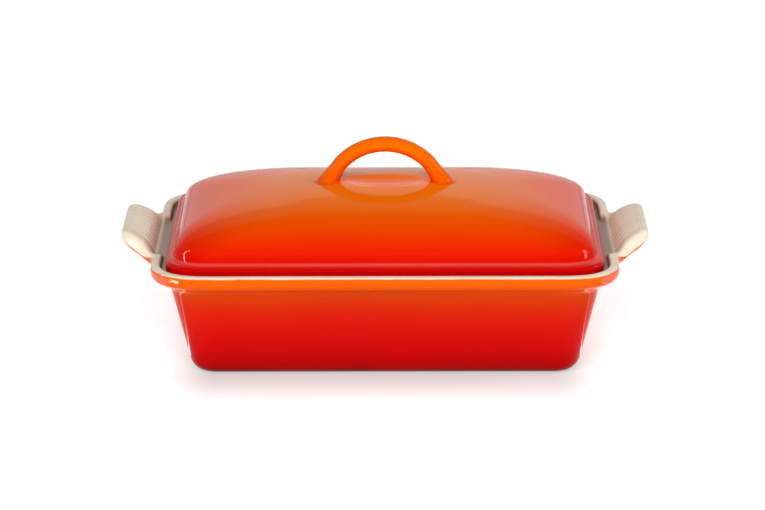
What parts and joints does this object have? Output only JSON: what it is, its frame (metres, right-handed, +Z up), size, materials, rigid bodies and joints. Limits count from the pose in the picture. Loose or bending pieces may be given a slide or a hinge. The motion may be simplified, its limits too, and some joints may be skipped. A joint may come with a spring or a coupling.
{
  "type": "covered casserole dish",
  "caption": "Rectangular glazed stoneware baking dish with ribbed wing handles and a domed lid with a loop handle that lifts off",
  "frame": {"origin": "centre of the foot, on the surface that the dish stands on", "axes": "+X along the dish from wing handle to wing handle, +Y across it, +Z up"},
  "size_m": [0.384, 0.241, 0.1535],
  "materials": {
    "volcanic_glaze": "glossy glaze that runs from orange at the top edge to deep red lower down, over bare stoneware on the foot",
    "cream_glaze": "smooth cream glaze, a little satin",
    "orange_glaze": "glossy bright orange glaze"
  },
  "bodies": {
    "dish": {"dish": "volcanic_glaze", "left_handle": "cream_glaze", "right_handle": "cream_glaze"},
    "lid": {"lid": "volcanic_glaze", "lid_handle": "orange_glaze"}
  },
  "joints": [
    {"name": "lid_lift", "type": "slide", "parent": "dish", "child": "lid", "axis": [0, 0, 1], "range_m": [0, 0.12]}
  ]
}
